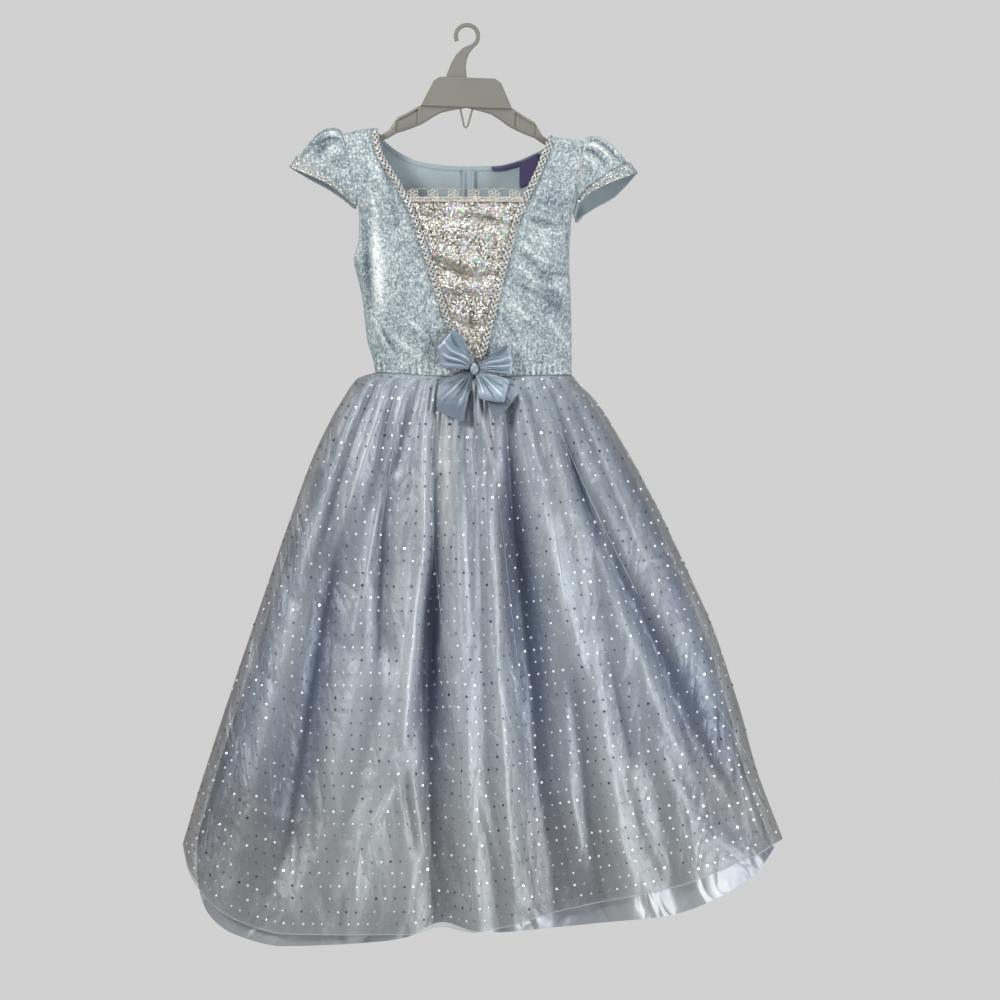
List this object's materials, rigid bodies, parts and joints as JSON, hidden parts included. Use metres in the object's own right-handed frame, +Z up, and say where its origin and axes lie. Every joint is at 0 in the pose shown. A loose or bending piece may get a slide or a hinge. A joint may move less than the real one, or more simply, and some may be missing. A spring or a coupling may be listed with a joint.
{
  "type": "child's princess costume dress on a clothes hanger",
  "caption": "Short-sleeved costume dress with a fitted bodice, draped front inset, bow and full two-layer skirt, hanging on a plastic hanger.",
  "frame": {"origin": "underside of the hook's crown, at the point that rests on the peg or rail", "axes": "+Z up, +X to the right as the front is seen, +Y from the front of the dress to its back"},
  "size_m": [0.7207, 0.1577, 1.104],
  "materials": {
    "plastic": "satin, moulded",
    "velvet": "crushed stretch velvet with a strong sheen",
    "satin": "smooth satin",
    "organza": "sheer, with foil dots",
    "sequins": "covered with small iridescent sequins",
    "braid": "metallic thread",
    "lace": "metallic thread lace",
    "glitter": "glitter tape",
    "ribbon": "satin ribbon",
    "tape": "woven closure tape",
    "label": "woven satin label, blank"
  },
  "bodies": {
    "root": {"hanger": "plastic", "bodice_front_left": "velvet", "bodice_front_right": "velvet", "bodice_back_left": "velvet", "bodice_back_right": "velvet", "sleeve_left": "velvet", "sleeve_right": "velvet", "sleeve_trim_left": "glitter", "sleeve_trim_right": "glitter", "inset": "sequins", "braid_left": "braid", "braid_right": "braid", "lace_flowers": "lace", "underskirt_front": "satin", "underskirt_back": "satin", "overskirt_front": "organza", "overskirt_back": "organza", "bow_loop_left": "ribbon", "bow_loop_right": "ribbon", "bow_loop_lower": "ribbon", "bow_tail_left": "ribbon", "bow_tail_right": "ribbon", "bow_knot": "ribbon", "placket": "tape", "label_care": "label", "label_neck": "label"}
  },
  "joints": []
}
